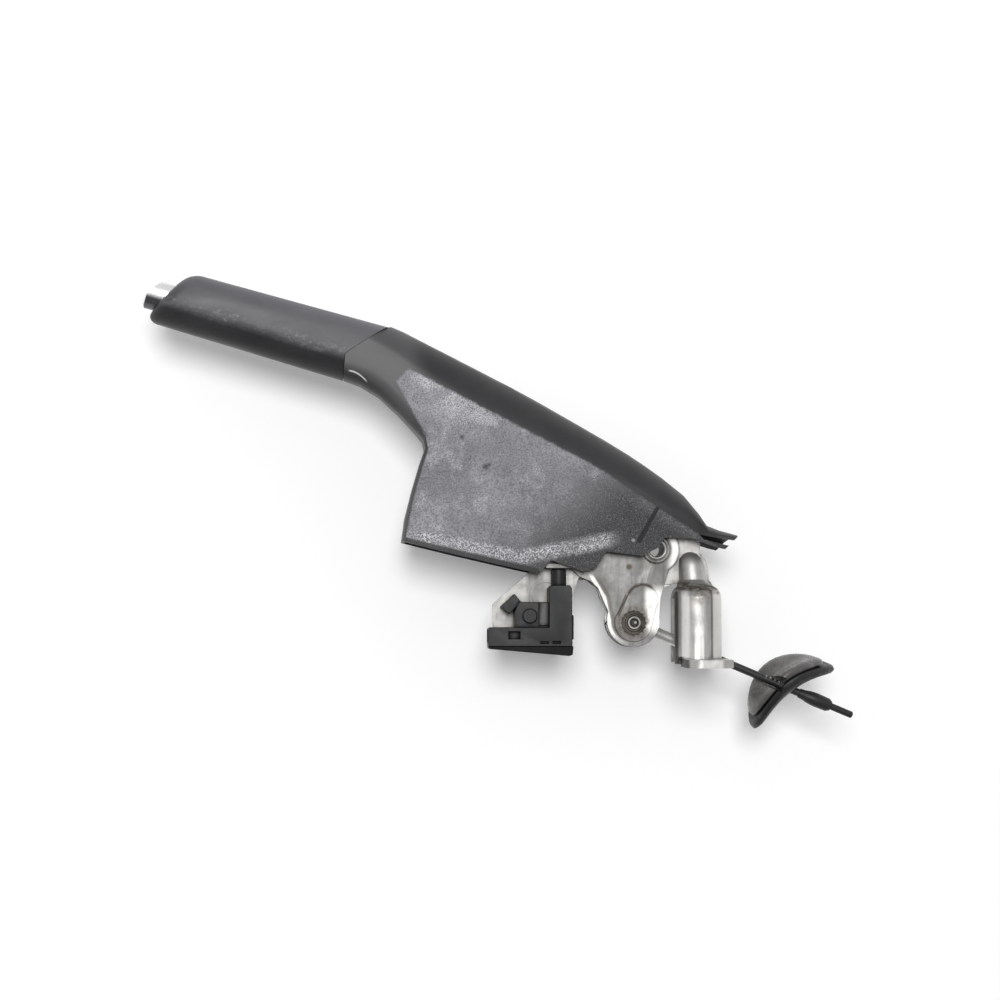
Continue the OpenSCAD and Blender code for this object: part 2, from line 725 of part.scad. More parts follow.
// Locating rib from a wall to the lever plate behind it
module shroud_rib(side, spot) {
    hull() for (dz = [-5, 5])
        translate([spot.x, side * (lever_out + 0.2), spot.y + dz]) rotate([side * -90, 0, 0])
            cylinder(r = 1.2, h = 15.8 - lever_out, $fn = 16);
}

module shroud() {
    color(CHARCOAL) at_pivot() union() {
        difference() {
            shroud_loft(outer_tops, outer_bottoms, 0);
            shroud_loft(inner_tops, inner_bottoms, shroud_wall);
            for (side = [-1, 1]) shroud_groove(side);
            slab(-skirt, 0) polygon(tail_slot);
            slab(-skirt, skirt) ahead_of_joint(0);
        }
        for (side = [-1, 1], spot = [[-118, 82], [-90, 55], [-62, 40]]) shroud_rib(side, spot);
    }
}

socket_x = -98.3;
socket_len = 20;
switch_back = -bracket_y - 0.6;
base_top = -55.6;
module switch_body() {
    color(BLACK) at_pivot() difference() {
        union() {
            slab(-bracket_y - switch_depth, switch_back) polygon([[-98.3, base_top], [-98.3, -46], [-97, -45],
                [-76, -45], [-63.5, -45], [-63.5, switch_top - 2.1], [-62, switch_top - 0.5],
                [-51.5, switch_top - 0.5], [-50.5, switch_top - 2.1], [-50.2, base_top]]);
            slab(-bracket_y - switch_depth + 2.5, switch_back)
                polygon([[-82.6, -46], [-83.2, -36], [-80.6, -30.5], [-63, -30.5], [-63, -46]]);
            slab(-bracket_y - switch_depth * 0.7, switch_back)
                polygon([[-86.1, -37.4], [-91, -33.4], [-83, -25.8], [-79.2, -30.6]]);
            cross_bar([-74.5, -38.5], 4, -bracket_y - switch_depth + 1.2, -bracket_y - 4);
            translate([-50.4, -bracket_y - switch_depth * 0.8, -52]) cube([1.2, switch_depth * 0.5, 14]);
        }
        translate([plunger_x, plunger_y, plunger_bore_floor]) cylinder(d = plunger_d + 2 * run_fit, h = 60);
        translate([socket_x - 1, -bracket_y - switch_depth + 3, -53.5])
            cube([socket_len + 1, switch_depth - 6, 6.8]);
        translate([-86.7, -bracket_y - switch_depth - 1, -51.6]) cube([6.4, 3.2, 4.2]);
        translate([-69.4, -bracket_y - switch_depth + 1.5, -44]) cube([5.9, 2.2, 14]);
        for (x = [-68.4, -61.5]) translate([x, -bracket_y - switch_depth - 1, -54.2]) cube([4.4, 2, 1.2]);
    }
}

module switch_base() {
    inset = 0.6;
    color("#2c2d2f") at_pivot() slab(-bracket_y - switch_depth + inset, switch_back)
        polygon([[-98.3, base_top], [-98, base_top - 1.6], [-52, -61.3], [-50, -60.6], [-49.6, base_top]]);
}

module switch_terminals() {
    mid_y = -bracket_y - switch_depth / 2;
    color("#c7b98a") at_pivot() for (s = [-1, 1])
        translate([socket_x + 6.5, mid_y + s * 2.6 - 1.4, -50.5]) cube([socket_len - 6.5, 2.8, 0.8]);
}

module switch_plunger() {
    color(BLACK) at_pivot() translate([plunger_x, plunger_y, 0]) rotate_extrude()
        polygon([[0, plunger_bottom], [plunger_d / 2, plunger_bottom], [plunger_d / 2, plunger_top - 0.8],
            [plunger_d / 2 - 0.8, plunger_top], [0, plunger_top]]);
}

module switch_spring() {
    color(STEEL) at_pivot() translate([plunger_x, plunger_y, 0])
        coil(3, 0.9, plunger_bore_floor + 0.2, plunger_bottom - 0.2, 6);
}

eye_half_w = lever_in - 0.8;
shank_len = 30;
rod_start = 12;
module rod_eye() {
    color(ZINC) union() {
        at_pivot() translate([cable_pin.x, 0, cable_pin.y]) slab(-eye_half_w, eye_half_w) difference() {
            circle(7.5);
            circle(cable_pin_d / 2 + run_fit);
        }
        along_rod() difference() {
            translate([0, 0, 6.6]) cylinder(r = rod_d / 2 + 1, h = shank_len - 6.6);
            translate([0, 0, rod_start]) cylinder(r = rod_d / 2 + seat_fit, h = shank_len);
        }
    }
}

sleeve_start = rod_reach - 34;
grommet_at = sleeve_start - grommet_ahead;
tip_start = rod_reach - 14;
module pull_rod() {
    color(BLACK) along_rod() translate([0, 0, rod_start + 0.2])
        cylinder(d = rod_d, h = sleeve_start + 8 - rod_start - 0.2);
}

module rod_sleeve() {
    r = sleeve_d / 2;
    color(BLACK) along_rod() difference() {
        rotate_extrude() polygon(concat(
            [[0, sleeve_start], [r - 1.3, sleeve_start], [r - 1.1, sleeve_start + 2.5]],
            [for (i = [0:8]) let (f = i / 8) [r - 1.1 * pow(1 - f, 2), sleeve_start + 3 + 8 * f]],
            [[r - 0.2, tip_start - 2], [r - 1.3, tip_start], [0, tip_start]]));
        translate([0, 0, sleeve_start - 1]) cylinder(d = rod_d + 2 * seat_fit, h = 9.2);
    }
}

module rod_tip() {
    r = rod_tip_d / 2;
    color(BLACK) along_rod() rotate_extrude()
        polygon([[0, tip_start], [r, tip_start], [r, rod_reach - 0.6], [r - 0.6, rod_reach], [0, rod_reach]]);
}

// Profile of the oval grommet: share of the full radius and height along its own axis
grommet_profile = [[0.12, 5], [0.4, 5.4], [0.65, 4.8], [0.8, 3.2], [0.88, 0.8], [0.87, -1.4], [0.76, -2.4],
    [0.87, -3.1], [0.96, -3.5], [1, -5], [0.99, -7.4], [0.92, -8.8], [0.6, -8.4], [0.12, -8.2]];
grommet_saddle = 7.5;
grommet_lean = 36;
grommet_turn = 18;
grommet_offset = 4;
// Slit in the near half of the front flange, by which the plug is pushed over the rod
slit_end = 2;
slit = [[-rod_d / 2 - 0.6, 0], [rod_d / 2 + 0.6, 0], [rod_d + 1, -24], [-rod_d - 1, -24]];

// Saddle-shaped rubber plug with a groove, tilted on the rod that runs through it
module cable_grommet() {
    color(RUBBER) along_rod() translate([0, 0, grommet_at]) difference() {
        rotate([0, -90 - rod_slope - grommet_lean, 0]) rotate([grommet_turn, 0, 0])
            skin([for (p = grommet_profile) [for (i = [0:35])
                let (a = 360 * (i + 0.5) / 36)
                [grommet_offset + grommet_len / 2 * p[0] * cos(a), grommet_w / 2 * p[0] * sin(a),
                    p[1] - grommet_saddle * p[0] * p[0] * cos(2 * a)]]]);
        cylinder(d = rod_d + 2 * run_fit, h = 80, center = true);
        translate([0, 0, slit_end - 40]) linear_extrude(40) polygon(slit);
    }
}

bracket_left();
bracket_right();
ratchet_sector();
sector_rivets();
pivot_bush();
switch_body();
switch_base();
switch_terminals();
switch_spring();
switch_plunger();
lever_plate_left();
lever_plate_right();
lever_spacers();
pivot_pin();
pawl_pin();
cable_pin();
cable_pin_ring();
lever_tube();
rod_guide();
grip();
shroud();
release_button();
release_rod();
button_spring();
pawl();
rod_eye();
pull_rod();
rod_sleeve();
rod_tip();
cable_grommet();
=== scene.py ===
import json
import math

import bmesh
import bpy
from mathutils import Matrix, Vector
from mathutils.bvhtree import BVHTree
from mathutils.kdtree import KDTree


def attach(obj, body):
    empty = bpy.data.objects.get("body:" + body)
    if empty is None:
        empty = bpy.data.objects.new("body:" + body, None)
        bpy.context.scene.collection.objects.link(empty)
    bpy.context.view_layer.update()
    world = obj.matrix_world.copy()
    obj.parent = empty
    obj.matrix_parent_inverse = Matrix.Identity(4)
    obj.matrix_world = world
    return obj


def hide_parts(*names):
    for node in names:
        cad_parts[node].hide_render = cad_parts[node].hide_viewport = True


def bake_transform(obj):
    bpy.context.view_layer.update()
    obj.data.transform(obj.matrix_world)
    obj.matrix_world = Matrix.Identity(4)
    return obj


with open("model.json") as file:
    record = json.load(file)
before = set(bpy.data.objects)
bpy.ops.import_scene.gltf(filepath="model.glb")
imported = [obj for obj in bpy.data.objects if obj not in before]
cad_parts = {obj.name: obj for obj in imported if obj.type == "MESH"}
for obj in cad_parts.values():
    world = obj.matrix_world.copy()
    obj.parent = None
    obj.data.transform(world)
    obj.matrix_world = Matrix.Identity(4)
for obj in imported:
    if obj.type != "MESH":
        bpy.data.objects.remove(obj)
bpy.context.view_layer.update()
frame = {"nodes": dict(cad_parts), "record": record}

JOINTS = {joint["name"]: joint for joint in frame["record"]["behaviour"]["joints"]}


def side_view(joint):
    """X and Z of a joint's place."""
    x, _, z = JOINTS[joint]["pos_m"]
    return x, z


# Places in the side view as (X, Z) and lengths, all in metres
PIVOT = side_view("lever_swing")
CABLE_PIN = side_view("rod_turn")
ROD_WAY = Vector(JOINTS["grommet_slide"]["axis"])


class Graph:
    """Short hand for building a material's nodes."""

    def __init__(self, name):
        self.material = bpy.data.materials.new(name)
        self.material.use_nodes = True
        self.tree = self.material.node_tree
        self.shader = self.tree.nodes["Principled BSDF"]
        self.output = self.tree.nodes["Material Output"]

    def add(self, kind, **inputs):
        node = self.tree.nodes.new(kind)
        for key, value in inputs.items():
            self.put(node, key.replace("_", " "), value)
        return node

    def put(self, node, key, value):
        socket = node.inputs[int(key)] if key.isdigit() else node.inputs[key]
        if isinstance(value, bpy.types.NodeSocket):
            self.tree.links.new(value, socket)
        else:
            socket.default_value = value

    def set(self, key, value):
        self.put(self.shader, key, value)

    def place(self):
        return self.add("ShaderNodeTexCoord").outputs["Object"]

    def normal(self):
        return self.add("ShaderNodeTexCoord").outputs["Normal"]

    def stretched(self, scale):
        mapping = self.add("ShaderNodeMapping", Vector=self.place())
        mapping.inputs["Scale"].default_value = scale
        return mapping.outputs["Vector"]

    def noise(self, scale, detail=4.0, rough=0.55, vector=None, distortion=0.0):
        node = self.add("ShaderNodeTexNoise", Scale=scale, Detail=detail, Roughness=rough)
        node.inputs["Distortion"].default_value = distortion
        self.put(node, "Vector", vector or self.place())
        return node.outputs["Fac"]

    def ramp(self, value, low, high, out_low=0.0, out_high=1.0):
        node = self.add("ShaderNodeMapRange")
        node.interpolation_type = "SMOOTHSTEP"
        self.put(node, "Value", value)
        for key, number in (("From Min", low), ("From Max", high), ("To Min", out_low), ("To Max", out_high)):
            node.inputs[key].default_value = number
        return node.outputs["Result"]

    def math(self, how, a, b=0.0):
        node = self.add("ShaderNodeMath")
        node.operation = how
        self.put(node, "0", a)
        self.put(node, "1", b)
        return node.outputs["Value"]

    def mul(self, *values):
        total = values[0]
        for value in values[1:]:
            total = self.math("MULTIPLY", total, value)
        return total

    def most(self, a, b):
        return self.math("MAXIMUM", a, b)

    def split(self, vector):
        return self.add("ShaderNodeSeparateXYZ", Vector=vector).outputs

    def mix(self, fac, a, b):
        node = self.add("ShaderNodeMix")
        node.data_type = "RGBA"
        self.put(node, "0", fac)
        for index, value in ((6, a), (7, b)):
            if isinstance(value, bpy.types.NodeSocket):
                self.tree.links.new(value, node.inputs[index])
            else:
                node.inputs[index].default_value = (*value, 1.0)
        return node.outputs[2]

    def bump(self, height, strength, distance, under=None):
        node = self.add("ShaderNodeBump", Height=height, Strength=strength, Distance=distance)
        if under is not None:
            self.put(node, "Normal", under)
        return node.outputs["Normal"]

    def from_place(self, place):
        """X and Z measured from a place in the side view."""
        at = self.split(self.place())
        return self.math("SUBTRACT", at["X"], place[0]), self.math("SUBTRACT", at["Z"], place[1])

    def radius(self, place):
        """Distance from the line along Y through a place."""
        dx, dz = self.from_place(place)
        return self.math("SQRT", self.math("ADD", self.mul(dx, dx), self.mul(dz, dz)))

    def turned(self, place, way_x, way_z):
        """Distances from a place along a direction of the side view and square to it."""
        dx, dz = self.from_place(place)
        along = self.math("ADD", self.mul(dx, way_x), self.mul(dz, way_z))
        across = self.math("SUBTRACT", self.mul(dz, way_x), self.mul(dx, way_z))
        return along, across

    def spot(self, place, near, far):
        """1 within near of the line along Y through a place, 0 beyond far."""
        return self.ramp(self.radius(place), near, far, 1.0, 0.0)

    def ring(self, value, middle, half):
        """1 where the value is near the middle, falling to 0 at half on either side."""
        gap = self.math("ABSOLUTE", self.math("SUBTRACT", value, middle))
        return self.ramp(gap, half * 0.45, half, 1.0, 0.0)

    def within(self, value, low, high, soft):
        return self.mul(self.ramp(value, low, low + soft), self.ramp(value, high - soft, high, 1.0, 0.0))

    def above_line(self, start, end):
        """Height above the line through two places."""
        at = self.split(self.place())
        slope = (end[1] - start[1]) / (end[0] - start[0])
        rise = self.math("MULTIPLY_ADD", at["X"], slope)
        rise.node.inputs[2].default_value = start[1] - slope * start[0]
        return self.math("SUBTRACT", at["Z"], rise)

    def off_line(self, start, end):
        """Distance from the line through two places, positive above it."""
        slope = (end[1] - start[1]) / (end[0] - start[0])
        return self.mul(self.above_line(start, end), 1 / math.hypot(1, slope))


def zinc(name, tint=(0.50, 0.491, 0.478), stains=(), bands=(), rough=(0.40, 0.60), painted_shade_x=None, painted_light=None):
    """Satin plated sheet: cloudy grain, upright streaks, brown stains, painted shade in corners and creases,
    and where given, painted shade by X and painted light marks.
    """
    g = Graph(name)
    at = g.split(g.place())
    cloud = g.noise(55, 5, 0.6)
    fine = g.noise(420, 3, 0.6)
    streak = g.noise(260, 5, 0.7, g.stretched((1.0, 1.0, 0.12)))
    base = g.mix(g.ramp(cloud, 0.35, 0.7), tint, tuple(c * 0.70 for c in tint))
    base = g.mix(g.ramp(streak, 0.52, 0.72, 0.0, 0.55), base, tuple(c * 0.5 for c in tint))
    # Painted shade towards -X: its share up to the first X, none past the second
    if painted_shade_x:
        far, near, share = painted_shade_x
        base = g.mix(g.ramp(at["X"], far, near, share, 0.0), base, (0.10, 0.098, 0.095))
    # Painted light and shade marks of one plate
    if painted_light:
        base = painted_light(g, at, base)
    blot = g.ramp(g.noise(240, 5, 0.7), 0.35, 0.62)
    stain = g.ramp(g.noise(160, 5, 0.7), 0.62, 0.75, 0.0, 0.45)
    for place, near, far, depth in stains:
        stain = g.most(stain, g.mul(g.spot(place, near, far), g.ramp(blot, 0.0, 1.0, 0.15, depth)))
    for start, end, half, depth in bands:
        gap = g.math("ABSOLUTE", g.above_line(start, end))
        ends = g.within(at["X"], start[0] - 0.002, end[0] + 0.002, 0.003)
        band = g.mul(g.ramp(gap, half * 0.3, half, 1.0, 0.0), ends)
        stain = g.most(stain, g.mul(band, g.ramp(blot, 0.0, 1.0, 0.35, depth)))
    base = g.mix(stain, base, (0.105, 0.082, 0.062))
    # Painted shade in corners and creases, from ambient occlusion
    corner = g.add("ShaderNodeAmbientOcclusion", Distance=0.004)
    corner_shade = g.ramp(corner.outputs["AO"], 0.25, 0.8, 0.75, 0.0)
    g.set("Base Color", g.mix(corner_shade, base, (0.10, 0.085, 0.07)))
    g.set("Metallic", 0.85)
    worn = g.math("ADD", g.mul(cloud, 0.6), g.mul(streak, 0.4))
    g.set("Roughness", g.math("ADD", g.ramp(worn, 0.3, 0.7, rough[0], rough[1]), g.mul(stain, 0.15)))
    under = g.bump(cloud, 0.25, 0.0010)
    g.set("Normal", g.bump(g.math("ADD", fine, g.mul(streak, 0.7)), 0.14, 0.0001, under))
    return g.material


# Tongue of the left lever plate: round lower end, left side from below, top and direction of the pressed pad,
# a rust pit, and the ring round the pivot where a highlight is painted
TONGUE_END, TONGUE_R = (-0.0424, 0.0263), 0.0155
TONGUE_SIDE = ((-0.0579, 0.0263), (-0.0606, 0.0393), (-0.0660, 0.0482))
PAD_TOP, PAD_R = (-0.0369, 0.0381), 0.0090
PAD_WAY = (0.39, 0.92)
RUST_PIT = (-0.0447, 0.0574)
BOSS_R = 0.0113


def tongue_painted_light_and_rust(g, at, base):
    """Painted highlights on the rolled rim, the right face and round the pivot, painted shade in the folds,
    and a rust pit on the lever plate's tongue.
    """
    low = g.math("SUBTRACT", TONGUE_R, g.radius(TONGUE_END))
    sides = g.most(g.off_line(*TONGUE_SIDE[0:2]), g.off_line(*TONGUE_SIDE[1:3]))
    share = g.ramp(at["Z"], 0.0250, 0.0280)
    edge = g.math("ADD", g.mul(sides, share), g.mul(low, g.math("SUBTRACT", 1.0, share)))
    leftward = g.math("ADD", g.mul(at["X"], 0.75), g.mul(at["Z"], -0.35))
    lit = g.mul(g.ramp(leftward, -0.0420, -0.0370, 1.0, 0.0), g.ramp(at["Z"], 0.010, 0.022, 0.15, 1.0),
                g.ramp(at["Z"], 0.050, 0.054, 1.0, 0.0))
    # Painted highlight along the rolled rim, with painted shade just inside it
    base = g.mix(g.mul(g.ring(edge, 0.0014, 0.0014), lit, 0.8), base, (0.66, 0.65, 0.63))
    base = g.mix(g.mul(g.ring(edge, 0.0040, 0.0011), lit, 0.6), base, (0.09, 0.08, 0.07))

    # Painted highlight on the right face
    face = g.mul(g.ramp(at["X"], -0.0372, -0.0335), g.within(at["Z"], 0.016, 0.048, 0.007))
    face = g.mul(face, g.ramp(g.noise(160, 5, 0.65), 0.30, 0.55, 0.55, 1.0))
    base = g.mix(g.mul(face, 0.85), base, (0.80, 0.79, 0.77))

    # Painted shade in the folds round the pressed pad
    along, left = g.turned(CABLE_PIN, *PAD_WAY)
    fold_shade = g.mul(g.ring(left, 0.0098, 0.0013), g.within(along, -0.001, 0.0145, 0.002))
    crest_shade = g.mul(g.ring(g.radius(PAD_TOP), PAD_R, 0.0013), g.ramp(along, 0.013, 0.015),
                  g.ramp(left, -0.005, -0.001))
    base = g.mix(g.mul(g.most(fold_shade, crest_shade), 0.85), base, (0.06, 0.052, 0.045))

    # Painted highlight round the pivot
    boss_highlight = g.mul(g.ring(g.radius(PIVOT), BOSS_R, 0.0026), g.ramp(at["X"], -0.024, -0.018), 0.75)
    base = g.mix(boss_highlight, base, (0.80, 0.79, 0.77))
    return g.mix(g.mul(g.spot(RUST_PIT, 0.0008, 0.0026), 0.85), base, (0.05, 0.035, 0.022))


# Near leg: X of its left edge, of the far end of the highlight painted on its side, and of the press line;
# heights of its foot and shoulder
LEG_LEFT, LEG_HIGHLIGHT_END, LEG_PRESS = -0.0182, -0.0125, -0.0004
LEG_FOOT, LEG_SHOULDER = 0.004, 0.0445


def leg_painted_light(g, at, base):
    """Painted light on the near leg: a highlight on its left side, a pale strip, and painted shade along the
    press line, at the foot's corner and on the left edge.
    """
    near = g.ramp(at["Y"], -0.016, -0.014, 1.0, 0.0)
    post = g.mul(near, g.within(at["Z"], LEG_FOOT, LEG_SHOULDER, 0.002))
    # Painted highlight on the left side
    side_highlight = g.within(at["X"], LEG_LEFT + 0.0002, LEG_HIGHLIGHT_END, 0.0015)
    base = g.mix(g.mul(post, side_highlight, 0.8), base, (0.95, 0.94, 0.93))
    # Painted light on the strip right of the press line
    behind = g.ramp(at["X"], LEG_PRESS + 0.0002, LEG_PRESS + 0.0016)
    base = g.mix(g.mul(post, behind, 0.7), base, (0.86, 0.84, 0.81))
    # Painted shade along the press line
    base = g.mix(g.mul(post, g.ring(at["X"], LEG_PRESS, 0.0009), 0.6), base, (0.09, 0.08, 0.07))
    # Painted shade at the corner where the leg turns into the foot
    bend = g.mul(g.ramp(at["X"], LEG_LEFT + 0.001, LEG_LEFT + 0.003, 1.0, 0.0),
                 g.within(at["Z"], -0.001, 0.0065, 0.0012))
    patchy = g.ramp(g.noise(420, 4, 0.6), 0.35, 0.6, 0.7, 1.0)
    base = g.mix(g.mul(bend, patchy), base, (0.03, 0.028, 0.025))
    # Painted shade on the left edge
    left_edge_shade = g.ramp(at["X"], LEG_LEFT - 0.001, LEG_LEFT, 0.9, 0.0)
    return g.mix(g.mul(post, left_edge_shade), base, (0.04, 0.036, 0.03))


# Painted glint in the hollow of the cable pin
PIN_GLINT = (-0.0416, 0.0252)


def pin_steel():
    """Riveted pin end: painted shade in the hollow, a bright collar with a dark ring outside it, and a
    painted glint.
    """
    g = Graph("pin_steel")
    out = g.radius(CABLE_PIN)
    # Painted shade in the hollow
    base = g.mix(g.ramp(out, 0.0026, 0.0031), (0.040, 0.038, 0.036), (0.27, 0.26, 0.245))
    base = g.mix(g.ramp(out, 0.0034, 0.0038), base, (0.05, 0.044, 0.038))
    base = g.mix(g.mul(g.spot(PIN_GLINT, 0.0004, 0.0010), 0.7), base, (0.35, 0.34, 0.32))
    g.set("Base Color", g.mix(g.ramp(g.noise(500, 4, 0.6), 0.5, 0.7, 0.0, 0.5), base, (0.10, 0.09, 0.08)))
    g.set("Metallic", 0.9)
    g.set("Roughness", g.ramp(g.noise(120, 4), 0.3, 0.7, 0.42, 0.58))
    g.set("Normal", g.bump(g.noise(700, 3), 0.1, 0.0001))
    return g.material


def steel(name, base=(0.42, 0.42, 0.42), rough=0.38):
    """Plain cloudy metal."""
    g = Graph(name)
    cloud = g.noise(120, 4, 0.6)
    g.set("Base Color", g.mix(g.ramp(cloud, 0.4, 0.7), base, tuple(c * 0.7 for c in base)))
    g.set("Metallic", 0.95)
    g.set("Roughness", g.ramp(cloud, 0.3, 0.7, rough - 0.08, rough + 0.1))
    g.set("Normal", g.bump(g.noise(700, 3), 0.08, 0.0001))
    return g.material


def plastic(name, base, rough, grain=900.0, depth=0.10, dust=0.12, shine=0.35):
    """Moulded plastic with a fine skin, light dust, rubbed spots and dull hollows."""
    g = Graph(name)
    skin = g.noise(grain, 3, 0.6)
    rub = g.noise(70, 6, 0.65)
    light = tuple(min(1.0, c * 2.2 + 0.02) for c in base)
    g.set("Base Color", g.mix(g.ramp(rub, 0.52, 0.78, 0.0, dust * 3), base, light))
    g.set("Roughness", g.ramp(rub, 0.3, 0.75, rough - 0.06, rough + 0.12))
    hollow = g.add("ShaderNodeAmbientOcclusion", Distance=0.003)
    g.set("Specular IOR Level", g.ramp(hollow.outputs["AO"], 0.45, 0.95, 0.02, shine))
    g.set("Normal", g.bump(skin, depth, 0.00015))
    return g.material


# Line of the grip's lower ridge
GRIP_RIDGE = ((-0.300, 0.2042), (-0.225, 0.1824))


def grip_plastic():
    """Satin dark plastic, with pale scuffs along the ridge, painted light growing up its side and painted
    shade under the ridge.
    """
    g = Graph("grip_plastic")
    rub = g.noise(45, 6, 0.62, g.stretched((0.5, 1.0, 1.6)))
    fine = g.noise(1300, 3, 0.6)
    scuff = g.noise(520, 5, 0.75, g.stretched((0.7, 1.0, 1.0)), 0.4)
    over = g.above_line(*GRIP_RIDGE)
    off_ridge = g.math("ABSOLUTE", g.math("SUBTRACT", over, 0.0022))
    near_ridge = g.ramp(off_ridge, 0.001, 0.0055, 1.0, 0.06)
    pale = g.mul(g.ramp(scuff, 0.48, 0.66, 0.0, 0.6), g.ramp(rub, 0.36, 0.60, 0.25, 1.0), near_ridge)
    base = g.mix(g.ramp(rub, 0.35, 0.7), (0.055, 0.055, 0.060), (0.084, 0.084, 0.092))
    # Painted light, growing above the ridge
    base = g.mix(g.ramp(over, 0.008, 0.026, 0.0, 0.8), base, (0.150, 0.150, 0.164))
    # Painted shade under the ridge
    base = g.mix(g.ramp(over, -0.0035, 0.0010, 0.85, 0.0), base, (0.010, 0.010, 0.011))
    g.set("Base Color", g.mix(pale, base, (0.30, 0.30, 0.305)))
    g.set("Roughness", g.ramp(rub, 0.3, 0.7, 0.42, 0.56))
    under = g.bump(rub, 0.14, 0.0010)
    g.set("Normal", g.bump(fine, 0.12, 0.0001, under))
    return g.material


# Lines on the shroud's left wall, from front to tail or from below
CREASE = ((-0.1734, 0.1723), (-0.0632, 0.1148), (-0.0267, 0.0911))
NECK = ((-0.1821, 0.1653), (-0.1641, 0.1334))
WALL_CORNER = ((-0.1819, 0.1623), (-0.1734, 0.1709))
RUBBED_EDGE = ((-0.1734, 0.0748), (-0.109, 0.0626), (-0.0609, 0.0719))
LOWER_EDGE = ((-0.1767, 0.0715), (-0.0983, 0.0533))
FRONT_EDGE = ((-0.1767, 0.0715), (-0.1708, 0.1015), (-0.1635, 0.1250))

# Pressed groove across the wall near the tail, from its lower to its upper end, and the pale nick below it
GROOVE = ((-0.0409, 0.0712), (-0.0292, 0.0917))
GROOVE_WIDTH = 0.0022
GROOVE_DEPTH = 0.0009
NICK = (-0.0438, 0.0724)

# Dents in the wall, drawn as painted shade: place, and the radii where the shade is darkest and where it ends
DENTS = (((-0.1290, 0.1144), 0.0005, 0.0028), ((-0.1268, 0.1156), 0.0002, 0.0018),
         ((-0.1424, 0.1315), 0.0002, 0.0022))

# Curved glint under the neck: its start, height there, first slope and bend
GLINT_FROM, GLINT_HEIGHT, GLINT_SLOPE, GLINT_BEND = -0.2078, 0.1697, -0.0212, 49.7


def shroud_wall(g, at, crease, ragged):
    """1 on the grained side walls, 0 on the crown and the neck."""
    side = g.ramp(g.math("ABSOLUTE", g.split(g.normal())["Y"]), 0.72, 0.9)
    below = g.ramp(crease, -0.0022, 0.0002, 1.0, 0.0)
    neck = g.math("SUBTRACT", g.above_line(*NECK), ragged)
    behind = g.most(g.ramp(neck, -0.001, 0.003), g.ramp(at["Z"], 0.130, 0.138, 1.0, 0.0))
    corner = g.math("ADD", g.above_line(*WALL_CORNER), ragged)
    return g.mul(side, below, behind, g.ramp(corner, -0.002, 0.001, 1.0, 0.0))


